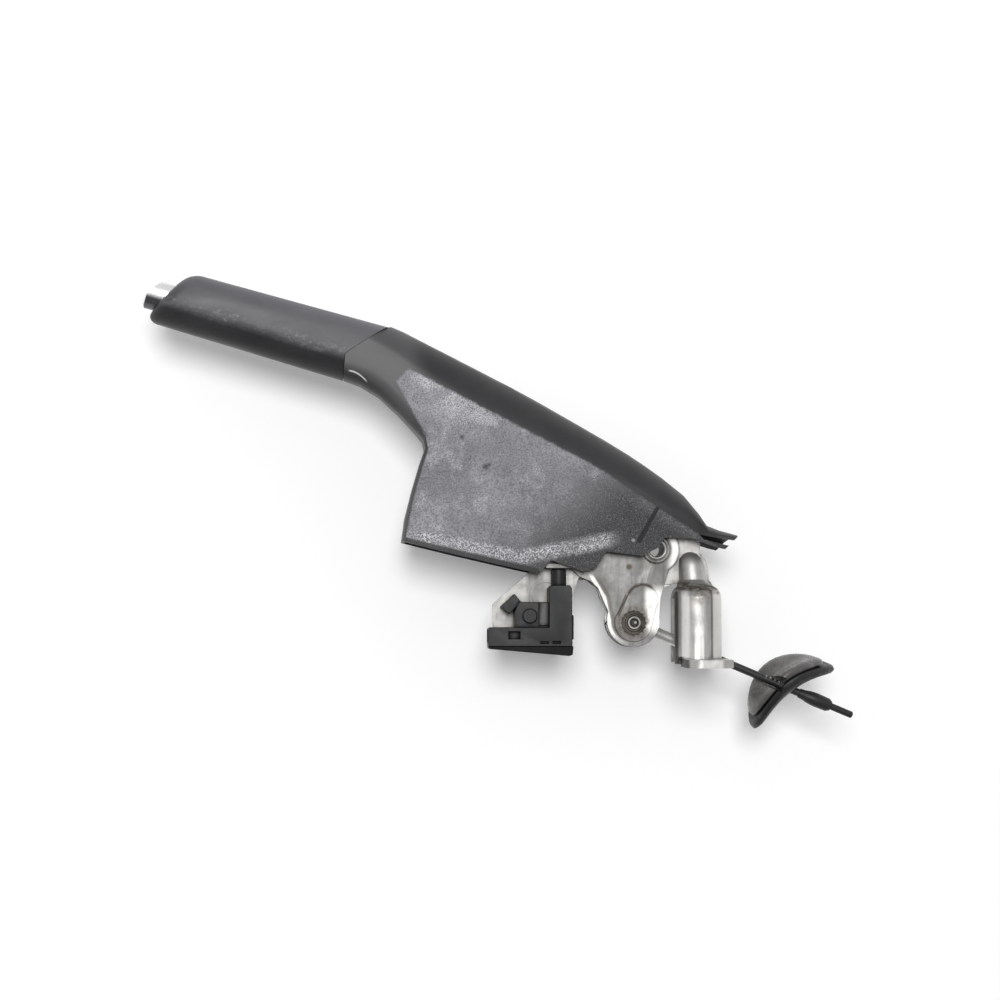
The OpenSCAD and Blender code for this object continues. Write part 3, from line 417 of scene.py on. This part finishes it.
def shroud_wall_tone(g, at, wall, crease, ragged, grain, coarse):
    """Colour of the side walls: grain, rubbed bands, a pale nick, and painted shade in the dents, in the
    groove and along the lower and front rims.
    """
    patches = g.ramp(g.noise(42, 6, 0.62, None, 0.4), 0.40, 0.62)
    smudge = g.ramp(g.noise(90, 6, 0.7, None, 0.6), 0.36, 0.64)
    edge_line = g.math("MINIMUM", g.above_line(*RUBBED_EDGE[0:2]), g.above_line(*RUBBED_EDGE[1:3]))
    edge_gap = g.math("ABSOLUTE", g.math("ADD", edge_line, ragged))
    edge_band = g.mul(g.ramp(edge_gap, 0.0016, 0.0062, 1.0, 0.0), g.ramp(at["X"], -0.066, -0.048, 1.0, 0.0))
    reach = g.ramp(at["X"], -0.165, -0.05, -0.030, -0.010)
    crease_band = g.mul(g.ramp(g.math("DIVIDE", crease, reach), 0.2, 1.2, 1.0, 0.0),
                        g.ramp(patches, 0.0, 1.0, 0.35, 1.0), g.ramp(at["X"], -0.075, -0.050, 0.8, 0.25))
    slant = g.math("SUBTRACT", at["X"], g.mul(g.math("SUBTRACT", at["Z"], 0.1), 1.18))
    front_half = g.ramp(slant, -0.118, -0.030, 1.0, 0.0)
    clouds = g.mul(g.ramp(patches, 0.0, 1.0, 0.3, 1.0), smudge, front_half, 0.55)
    bands = g.most(g.mul(edge_band, g.ramp(smudge, 0.0, 1.0, 0.35, 0.7)), crease_band)
    worn = g.mul(wall, g.most(bands, clouds))

    tips = g.ramp(g.math("ADD", grain, g.mul(worn, 0.12)), 0.52, 0.68)
    tone = g.mix(g.ramp(g.noise(26, 6, 0.65), 0.32, 0.68), (0.150, 0.151, 0.163), (0.250, 0.251, 0.270))
    tone = g.mix(front_half, (0.022, 0.022, 0.024), tone)
    tone = g.mix(g.mul(worn, 0.65), tone, (0.32, 0.322, 0.345))
    tone = g.mix(g.ramp(coarse, 0.34, 0.56, 0.55, 0.0), tone, (0.055, 0.055, 0.059))
    tone = g.mix(g.mul(tips, g.ramp(worn, 0.1, 0.9, 0.16, 0.75)), tone, (0.66, 0.665, 0.69))
    specks = g.mix(g.ramp(g.noise(1350, 2, 0.5), 0.46, 0.58), (0.085, 0.085, 0.09), (0.66, 0.665, 0.69))
    tone = g.mix(g.mul(edge_band, g.ramp(smudge, 0.0, 1.0, 0.35, 0.85)), tone, specks)
    left = g.ramp(at["Y"], -0.002, 0.002, 1.0, 0.0)
    # Painted shade in the dents
    for place, near, far in DENTS:
        tone = g.mix(g.mul(g.spot(place, near, far), left, 0.75), tone, (0.030, 0.030, 0.033))

    # Painted shade in the groove, on the left wall
    groove = g.mul(g.ring(g.off_line(*GROOVE), 0.0, 0.0017), g.within(at["Z"], 0.0700, 0.0925, 0.002))
    tone = g.mix(g.mul(groove, left, 0.92), tone, (0.006, 0.006, 0.007))
    tone = g.mix(g.mul(g.spot(NICK, 0.0004, 0.0014), left, 0.7), tone, (0.40, 0.40, 0.39))

    # Painted shade along the rounded lower and front rims
    low_rim_shade = g.mul(g.ramp(g.above_line(*LOWER_EDGE), 0.0020, 0.0036, 1.0, 0.0),
                    g.ramp(at["X"], -0.0985, -0.0975, 1.0, 0.0))
    inside = g.mul(g.most(g.off_line(*FRONT_EDGE[0:2]), g.off_line(*FRONT_EDGE[1:3])), -1.0)
    front_rim_shade = g.mul(g.ramp(inside, 0.0007, 0.0026, 1.0, 0.0), g.ramp(at["Z"], 0.122, 0.127, 1.0, 0.0))
    return g.mix(g.mul(g.most(low_rim_shade, front_rim_shade), 0.85), tone, (0.012, 0.012, 0.013))


def shroud_smooth_tone(g, at):
    """Colour of the crown and the neck: painted light on the neck, painted shade on the underside, darker at
    the tail, and a painted glint under the neck.
    """
    cloud = g.ramp(g.noise(55, 5, 0.6), 0.4, 0.7, 0.0, 0.5)
    tone = g.mix(cloud, (0.024, 0.024, 0.026), (0.037, 0.037, 0.039))
    # Painted light on the neck
    tone = g.mix(g.ramp(at["X"], -0.176, -0.160, 0.8, 0.0), tone, (0.085, 0.085, 0.088))
    facing = g.split(g.normal())["Z"]
    # Painted shade on the downward-facing underside
    tone = g.mix(g.ramp(facing, -0.75, -0.25, 0.85, 0.0), tone, (0.010, 0.010, 0.011))
    tone = g.mix(g.ramp(at["X"], -0.012, 0.0, 0.0, 0.75), tone, (0.008, 0.008, 0.009))
    # Painted glint under the neck
    run = g.math("SUBTRACT", at["X"], GLINT_FROM)
    drop = g.mul(run, g.math("SUBTRACT", GLINT_SLOPE, g.mul(run, GLINT_BEND)))
    glint = g.mul(g.ring(g.math("SUBTRACT", at["Z"], drop), GLINT_HEIGHT, 0.0006),
                  g.within(at["X"], -0.2080, -0.1962, 0.002), g.ramp(at["Y"], -0.008, -0.006, 1.0, 0.0), 0.8)
    return g.mix(glint, tone, (0.75, 0.75, 0.75))


def shroud_plastic():
    """Dark plastic: smooth crown and neck, grained side walls."""
    g = Graph("shroud_plastic")
    at = g.split(g.place())
    ragged = g.mul(g.math("SUBTRACT", g.noise(300, 5, 0.7), 0.5), 0.003)
    crease = g.math("ADD", g.most(g.above_line(*CREASE[0:2]), g.above_line(*CREASE[1:3])), ragged)
    wall = shroud_wall(g, at, crease, ragged)
    grain = g.noise(1700, 2, 0.55)
    coarse = g.noise(1050, 2, 0.5)
    tone = shroud_wall_tone(g, at, wall, crease, ragged, grain, coarse)
    g.set("Base Color", g.mix(wall, shroud_smooth_tone(g, at), tone))
    g.set("Roughness", g.ramp(wall, 0.0, 1.0, 0.47, 0.60))
    g.set("Specular IOR Level", 0.4)
    height = g.mul(wall, g.math("ADD", g.mul(grain, 0.8), g.mul(coarse, 0.7)))
    under = g.bump(g.noise(40, 4), 0.10, 0.0012)
    g.set("Normal", g.bump(height, 0.45, 0.0004, under))
    return g.material


# Nicks on the rod: where they start and end along it from the cable pin, and their spacing
NICKS_FROM, NICKS_TO, NICK_PITCH = 0.083, 0.0975, 0.0027


def rod_coat():
    """Black rod coat with a row of small pale nicks where the grommet has rubbed."""
    g = Graph("rod_coat_nicked")
    along, across = g.turned(CABLE_PIN, ROD_WAY.x, ROD_WAY.z)
    part = g.math("FRACT", g.math("DIVIDE", along, NICK_PITCH))
    phase = g.math("ABSOLUTE", g.math("SUBTRACT", part, 0.5))
    nicks = g.mul(g.ramp(phase, 0.10, 0.24, 1.0, 0.0), g.ramp(across, 0.0002, 0.0011),
                  g.within(along, NICKS_FROM, NICKS_TO, 0.0011), g.ramp(g.noise(900, 3, 0.6), 0.42, 0.55))
    g.set("Base Color", g.mix(nicks, (0.018, 0.018, 0.017), (0.42, 0.41, 0.40)))
    g.set("Roughness", g.ramp(g.noise(70, 5, 0.6), 0.3, 0.75, 0.38, 0.52))
    g.set("Normal", g.bump(g.math("ADD", g.mul(g.noise(1200, 3), 0.2), nicks), 0.3, 0.0002))
    return g.material


# Grommet: place along the rod, how its axes are turned, half sizes, offset along its length,
# depth of its saddle and height of its groove, as in the CAD
GROMMET_AT = 0.092
GROMMET_LEAN, GROMMET_TURN = math.radians(36), math.radians(18)
GROMMET_HALF_LONG, GROMMET_HALF_WIDE, GROMMET_OFFSET = 0.030, 0.0155, 0.004
GROMMET_SADDLE, GROMMET_GROOVE = 0.0075, -0.0024


def grommet_rubber():
    """Rubber plug: greyer, glossy front flange, painted shade over the rear flange, which is also dull, in
    the groove and along the rim.
    """
    g = Graph("grommet_rubber")
    middle = Vector((CABLE_PIN[0], 0.0, CABLE_PIN[1])) + ROD_WAY * GROMMET_AT
    axes = Matrix.Rotation(-GROMMET_LEAN, 3, "Y") @ Matrix.Rotation(GROMMET_TURN, 3, "X")
    shift = g.add("ShaderNodeVectorMath")
    shift.operation = "SUBTRACT"
    g.put(shift, "0", g.place())
    shift.inputs[1].default_value = middle

    def along(axis):
        node = g.add("ShaderNodeVectorMath")
        node.operation = "DOT_PRODUCT"
        g.put(node, "0", shift.outputs["Vector"])
        node.inputs[1].default_value = axis
        return node.outputs["Value"]

    long_way = g.math("DIVIDE", g.math("SUBTRACT", along(axes.col[0]), GROMMET_OFFSET), GROMMET_HALF_LONG)
    wide_way = g.math("DIVIDE", along(axes.col[1]), GROMMET_HALF_WIDE)
    long_square = g.mul(long_way, long_way)
    wide_square = g.mul(wide_way, wide_way)
    saddle = g.mul(g.math("SUBTRACT", long_square, wide_square), GROMMET_SADDLE)
    height = g.math("ADD", along(axes.col[2]), saddle)
    front = g.ramp(height, GROMMET_GROOVE - 0.0006, GROMMET_GROOVE + 0.0004)
    cloud = g.noise(70, 5, 0.6)
    base = g.mix(g.ramp(cloud, 0.4, 0.7), (0.095, 0.091, 0.088), (0.175, 0.170, 0.165))
    # Painted shade on the rear flange
    base = g.mix(front, (0.022, 0.020, 0.020), base)
    # Painted shade in the groove
    base = g.mix(g.mul(g.ring(height, GROMMET_GROOVE, 0.0013), 0.9), base, (0.005, 0.005, 0.005))
    # Painted shade along the rim
    rim = g.ramp(g.math("ADD", long_square, wide_square), 0.72, 0.92, 0.0, 0.85)
    g.set("Base Color", g.mix(rim, base, (0.010, 0.010, 0.010)))
    dull = g.ramp(front, 0.0, 1.0, 0.18, 0.0)
    g.set("Roughness", g.math("ADD", g.ramp(g.noise(95, 5, 0.6), 0.35, 0.65, 0.14, 0.34), dull))
    under = g.bump(g.noise(120, 4, 0.55), 0.5, 0.0022)
    g.set("Normal", g.bump(g.noise(500, 3), 0.10, 0.0002, under))
    return g.material


def chrome():
    """Bright plated cap, with painted shade along its underside."""
    g = Graph("chrome_plate")
    haze = g.noise(140, 4, 0.6)
    # Painted shade along the underside
    under = g.ramp(g.split(g.normal())["Z"], -0.42, -0.18, 1.0, 0.0)
    g.set("Base Color", g.mix(under, (0.93, 0.93, 0.935), (0.10, 0.10, 0.105)))
    g.set("Metallic", 0.6)
    g.set("Roughness", g.ramp(haze, 0.35, 0.75, 0.20, 0.32))
    g.set("Normal", g.bump(g.noise(300, 2), 0.02, 0.0001))
    return g.material


# Stains: place, radii where they are full and where they end, and depth.
# Band: ends, half height and depth.
LEG_STAINS = [((-0.0075, 0.042), 0.003, 0.010, 0.55), ((-0.033, 0.058), 0.002, 0.007, 0.6)]
LEG_BANDS = [((-0.0190, 0.0465), (0.0045, 0.0440), 0.0042, 1.0)]
PIN_STAINS = [(CABLE_PIN, 0.007, 0.012, 0.75), (PIVOT, 0.006, 0.010, 0.5)]
# Painted shade on the left ear: X where it is full, X where it ends, and its share
EAR_PAINTED_SHADE = (-0.085, -0.052, 0.5)
LOOKS = {
    "zinc": zinc("zinc_bracket", stains=LEG_STAINS, bands=LEG_BANDS, painted_shade_x=EAR_PAINTED_SHADE, painted_light=leg_painted_light),
    "zinc_lever": zinc("zinc_lever", (0.205, 0.202, 0.197), PIN_STAINS, rough=(0.34, 0.54),
                       painted_light=tongue_painted_light_and_rust),
    "zinc_shank": zinc("zinc_shank", (0.60, 0.59, 0.58)),
    "steel": steel("oiled_steel"),
    "ring": steel("ring_steel", (0.062, 0.055, 0.048), 0.46),
    "pin": pin_steel(),
    "bronze": steel("sintered_bronze", (0.42, 0.30, 0.14), 0.45),
    "contact": steel("tinned_contact", (0.6, 0.55, 0.4), 0.3),
    "switch": plastic("switch_plastic", (0.008, 0.0085, 0.0095), 0.44, 800, 0.12, 0.12),
    # A darker copy of the switch plastic: painted shade on the switch's bottom strip
    "switch_base": plastic("switch_base_shaded_plastic", (0.004, 0.004, 0.0045), 0.40, 800, dust=0.05, shine=0.10),
    "nylon": plastic("nylon", (0.62, 0.60, 0.54), 0.45),
    "coat": plastic("rod_coat", (0.018, 0.018, 0.017), 0.42, 1200, 0.08, 0.06),
    "rod": rod_coat(),
    "grip": grip_plastic(),
    "shroud": shroud_plastic(),
    "rubber": grommet_rubber(),
    "chrome": chrome(),
}

# Node, look, body, slot, bevel in metres, angle of edges that stay sharp, and whether flat facets are joined
DRESS = [
    ("bracket_left", "zinc", "base", "zinc", 0.0005, 38, False),
    ("bracket_right", "zinc", "base", "zinc", 0.0, 38, False),
    ("ratchet_sector", "steel", "base", "steel", 0.0002, 30, True),
    ("sector_rivets", "steel", "base", "steel", 0.0002, 30, True),
    ("pivot_bush", "bronze", "base", "bronze", 0.0, 30, True),
    ("switch_body", "switch", "base", "switch_plastic", 0.0005, 30, True),
    ("switch_base", "switch_base", "base", "switch_plastic", 0.0005, 30, True),
    ("switch_terminals", "contact", "base", "contact", 0.0001, 30, True),
    ("switch_spring", "steel", "base", "steel", 0.0, 70, False),
    ("switch_plunger", "switch", "plunger", "switch_plastic", 0.0002, 30, True),
    ("lever_plate_left", "zinc_lever", "lever", "zinc", 0.0009, 30, True),
    ("lever_plate_right", "zinc_lever", "lever", "zinc", 0.0004, 30, True),
    ("lever_spacers", "steel", "lever", "steel", 0.0002, 30, True),
    ("pivot_pin", "zinc", "lever", "zinc", 0.0, 38, True),
    ("pawl_pin", "steel", "lever", "steel", 0.0002, 30, True),
    ("cable_pin", "pin", "lever", "steel", 0.0003, 30, True),
    ("cable_pin_ring", "ring", "lever", "steel", 0.0002, 30, True),
    ("lever_tube", "steel", "lever", "steel", 0.0002, 30, True),
    ("rod_guide", "nylon", "lever", "nylon", 0.0002, 30, True),
    ("grip", "grip", "lever", "grip_plastic", 0.0, 50, False),
    ("shroud", "shroud", "lever", "shroud_plastic", 0.0, 42, False),
    ("button_spring", "steel", "lever", "steel", 0.0, 70, False),
    ("release_button", "chrome", "button", "chrome", 0.0005, 30, True),
    ("release_rod", "steel", "button", "steel", 0.0, 40, True),
    ("pawl", "steel", "pawl", "steel", 0.0002, 30, True),
    ("rod_eye", "zinc_shank", "rod", "zinc", 0.0003, 30, True),
    ("pull_rod", "rod", "rod", "rod_coat", 0.0002, 30, True),
    ("rod_sleeve", "coat", "rod", "rod_coat", 0.0, 40, True),
    ("rod_tip", "coat", "rod", "rod_coat", 0.0002, 30, True),
    ("cable_grommet", "rubber", "grommet", "rubber", 0.0, 60, False),
]


def even_normals(mesh, reach, limit):
    """Corner normals averaged over the surface within reach, so that thin facets of a loft don't show."""
    step = reach * 0.45
    spots = []
    for face in mesh.polygons:
        a, b, c = (mesh.vertices[i].co for i in face.vertices[:3])
        rows = max(1, math.ceil(max((b - a).length, (c - a).length, (c - b).length) / step))
        for i in range(rows):
            for j in range(rows - i):
                u, v = (i + 1 / 3) / rows, (j + 1 / 3) / rows
                place = a + (b - a) * u + (c - a) * v
                spots.append((place, face.normal, face.area / (rows * (rows + 1) / 2)))
    tree = KDTree(len(spots))
    for index, (point, _, _) in enumerate(spots):
        tree.insert(point, index)
    tree.balance()
    least = math.cos(math.radians(limit))
    normals = []
    for face in mesh.polygons:
        for corner in face.vertices:
            total = face.normal * 1e-9
            for _, index, gap in tree.find_range(mesh.vertices[corner].co, reach):
                _, normal, area = spots[index]
                if normal.dot(face.normal) > least:
                    total = total + normal * area * (1.0 - 0.8 * gap / reach)
            normals.append(total.normalized())
    mesh.normals_split_custom_set(normals)


# Round pieces, whose broken edges must not flatten the shading beside them
TURNED = {"switch_plunger", "cable_pin", "pawl_pin", "lever_spacers", "lever_tube", "rod_guide",
          "release_button", "pull_rod", "rod_tip", "rod_eye", "sector_rivets"}

# Lofted pieces and the reach in metres over which their shading is evened
LOFTED = {"grip": 0.0045, "shroud": 0.0040, "cable_grommet": 0.0018}


def press_groove(mesh):
    """The shroud's mesh with the groove cut into its left wall."""
    skin = BVHTree.FromPolygons([v.co for v in mesh.vertices], [f.vertices for f in mesh.polygons])
    inward = Vector((0.0, 1.0, 0.0))
    ends = [Vector((x, -0.1, z)) for x, z in GROOVE]
    aside = (ends[1] - ends[0]).normalized().cross(inward) * GROOVE_WIDTH / 2
    block = bmesh.new()
    for end in ends:
        place = skin.ray_cast(end, inward)[0]
        for depth in (-3 * GROOVE_DEPTH, GROOVE_DEPTH):
            for side in (-1, 1):
                block.verts.new(place + inward * depth + aside * side)
    bmesh.ops.convex_hull(block, input=block.verts)
    bmesh.ops.recalc_face_normals(block, faces=block.faces)
    block_mesh = bpy.data.meshes.new("groove_block")
    block.to_mesh(block_mesh)
    block.free()
    cutter = bpy.data.objects.new("groove_block", block_mesh)
    blank = bpy.data.objects.new("groove_blank", mesh)
    for part in (cutter, blank):
        bpy.context.scene.collection.objects.link(part)
    cut = blank.modifiers.new("groove", "BOOLEAN")
    cut.operation = "DIFFERENCE"
    cut.solver = "EXACT"
    cut.object = cutter
    pressed = bpy.data.meshes.new_from_object(blank.evaluated_get(bpy.context.evaluated_depsgraph_get()))
    for part in (cutter, blank):
        bpy.data.objects.remove(part)
    return pressed


# Springs: the slide joint they follow, the bodies of their still and moving ends,
# and whether they stretch along its axis
SPRINGS = {"button_spring": ("button_push", "lever", "button", False),
           "switch_spring": ("plunger_slide", "base", "plunger", True)}


def follow_slide(spring, slide, still, moving, stretches):
    """Bakes the spring's place into its mesh; neither end follows a body."""
    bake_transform(spring)


def welded(source, name, join_flat):
    """A copy of a CAD mesh with its corners welded and, where asked, its flat facets joined."""
    work = bmesh.new()
    work.from_mesh(source)
    bmesh.ops.remove_doubles(work, verts=work.verts, dist=2e-6)
    if join_flat:
        bmesh.ops.dissolve_limit(work, angle_limit=math.radians(0.6), verts=work.verts, edges=work.edges)
    for face in work.faces:
        face.smooth = True
    mesh = bpy.data.meshes.new(name)
    work.to_mesh(mesh)
    work.free()
    return mesh


def smooth_triangles(mesh):
    """Cuts every face of a mesh into smoothly shaded triangles."""
    work = bmesh.new()
    work.from_mesh(mesh)
    bmesh.ops.triangulate(work, faces=work.faces)
    for face in work.faces:
        face.smooth = True
    work.to_mesh(mesh)
    work.free()


def dress(node, look, body, slot, bevel, sharp, join_flat):
    """A finished copy of a CAD node: welded, smoothly shaded and with broken edges."""
    mesh = welded(frame["nodes"][node].data, node + "_finished", join_flat)
    if node == "shroud":
        mesh = press_groove(mesh)
    lofted = node in LOFTED
    if lofted:
        smooth_triangles(mesh)
        even_normals(mesh, LOFTED[node], sharp)
    else:
        mesh.set_sharp_from_angle(angle=math.radians(sharp))
    mesh.materials.clear()
    mesh.materials.append(LOOKS[look])
    piece = bpy.data.objects.new(node + "_finished", mesh)
    bpy.context.scene.collection.objects.link(piece)
    if bevel:
        broken = piece.modifiers.new("broken edges", "BEVEL")
        broken.width = bevel
        broken.segments = 2
        broken.limit_method = "ANGLE"
        broken.angle_limit = math.radians(max(sharp, 32))
        broken.harden_normals = node not in TURNED
        broken.use_clamp_overlap = True
    if not join_flat and not lofted:
        even = piece.modifiers.new("even shading", "WEIGHTED_NORMAL")
        even.mode = "FACE_AREA"
        even.weight = 60
        even.keep_sharp = True
    if node in SPRINGS:
        follow_slide(piece, *SPRINGS[node])
    else:
        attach(piece, body)
    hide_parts(node)


for row in DRESS:
    dress(*row)


# Backdrop: half size and distance behind the middle plane
WALL_HALF, WALL_BEHIND = 4.0, 0.055


def backdrop():
    """A pale wall just behind the object, seen from its front only."""
    g = Graph("pale_wall")
    g.set("Base Color", (0.95, 0.95, 0.95, 1.0))
    g.set("Emission Color", (1.0, 1.0, 1.0, 1.0))
    rays = g.add("ShaderNodeLightPath").outputs
    g.set("Emission Strength", g.mul(g.most(rays["Is Camera Ray"], rays["Is Glossy Ray"]), 0.09))
    g.set("Roughness", 0.9)
    g.set("Specular IOR Level", 0.0)
    clear = g.add("ShaderNodeBsdfTransparent")
    facing = g.add("ShaderNodeNewGeometry").outputs["Backfacing"]
    both = g.add("ShaderNodeMixShader")
    g.put(both, "0", facing)
    g.tree.links.new(g.shader.outputs["BSDF"], both.inputs[1])
    g.tree.links.new(clear.outputs["BSDF"], both.inputs[2])
    g.tree.links.new(both.outputs["Shader"], g.output.inputs["Surface"])
    mesh = bpy.data.meshes.new("pale_wall")
    corners = [(x * WALL_HALF, WALL_BEHIND, z * WALL_HALF) for x, z in ((-1, -1), (1, -1), (1, 1), (-1, 1))]
    mesh.from_pydata(corners, [], [(0, 1, 2, 3)])
    mesh.materials.append(g.material)
    wall = bpy.data.objects.new("pale_wall", mesh)
    bpy.context.scene.collection.objects.link(wall)


def area_light(name, at, aim, size, power):
    data = bpy.data.lights.new(name, "AREA")
    data.shape = "DISK"
    data.size = size
    data.energy = power
    lamp = bpy.data.objects.new(name, data)
    lamp.location = at
    lamp.rotation_euler = (Vector(aim) - Vector(at)).to_track_quat("-Z", "Y").to_euler()
    bpy.context.scene.collection.objects.link(lamp)


def studio():
    """A pale room, brighter above and at both sides, and one large key light over the camera."""
    world = bpy.data.worlds.new("pale_room")
    bpy.context.scene.world = world
    world.use_nodes = True
    room = world.node_tree
    ray = room.nodes.new("ShaderNodeTexCoord")
    parts = room.nodes.new("ShaderNodeSeparateXYZ")
    fade = room.nodes.new("ShaderNodeMapRange")
    fade.interpolation_type = "SMOOTHSTEP"
    for key, number in (("From Min", -0.5), ("From Max", 0.6), ("To Min", 0.22), ("To Max", 0.48)):
        fade.inputs[key].default_value = number
    aside = room.nodes.new("ShaderNodeMath")
    aside.operation = "ABSOLUTE"
    sides = room.nodes.new("ShaderNodeMapRange")
    sides.interpolation_type = "SMOOTHSTEP"
    for key, number in (("From Min", 0.5), ("From Max", 0.95), ("To Min", 0.0), ("To Max", 0.45)):
        sides.inputs[key].default_value = number
    both = room.nodes.new("ShaderNodeMath")
    both.operation = "ADD"
    room.links.new(ray.outputs["Generated"], parts.inputs["Vector"])
    room.links.new(parts.outputs["Z"], fade.inputs["Value"])
    room.links.new(parts.outputs["X"], aside.inputs[0])
    room.links.new(aside.outputs["Value"], sides.inputs["Value"])
    room.links.new(fade.outputs["Result"], both.inputs[0])
    room.links.new(sides.outputs["Result"], both.inputs[1])
    room.links.new(both.outputs["Value"], room.nodes["Background"].inputs["Strength"])
    room.nodes["Background"].inputs["Color"].default_value = (1.0, 1.0, 1.0, 1.0)
    area_light("key", (-0.326, -2.943, 0.647), (-0.12, 0.0, 0.10), 1.1, 58)


def camera():
    """The photo's view: nearly square to the left side, from a little below the middle."""
    azimuth, elevation, distance = math.radians(-4.0), math.radians(-3.0), 1.1
    aim = Vector((-0.1193, 0.0, 0.0963))
    back = Vector((math.sin(azimuth) * math.cos(elevation), -math.cos(azimuth) * math.cos(elevation),
                   math.sin(elevation)))
    data = bpy.data.cameras.new("camera")
    data.lens = 68.0
    data.sensor_width = 36.0
    view = bpy.data.objects.new("camera", data)
    view.location = aim + back * distance
    view.rotation_euler = (-back).to_track_quat("-Z", "Y").to_euler()
    bpy.context.scene.collection.objects.link(view)
    bpy.context.scene.camera = view


backdrop()
studio()
camera()
bpy.context.scene.view_settings.view_transform = "Standard"
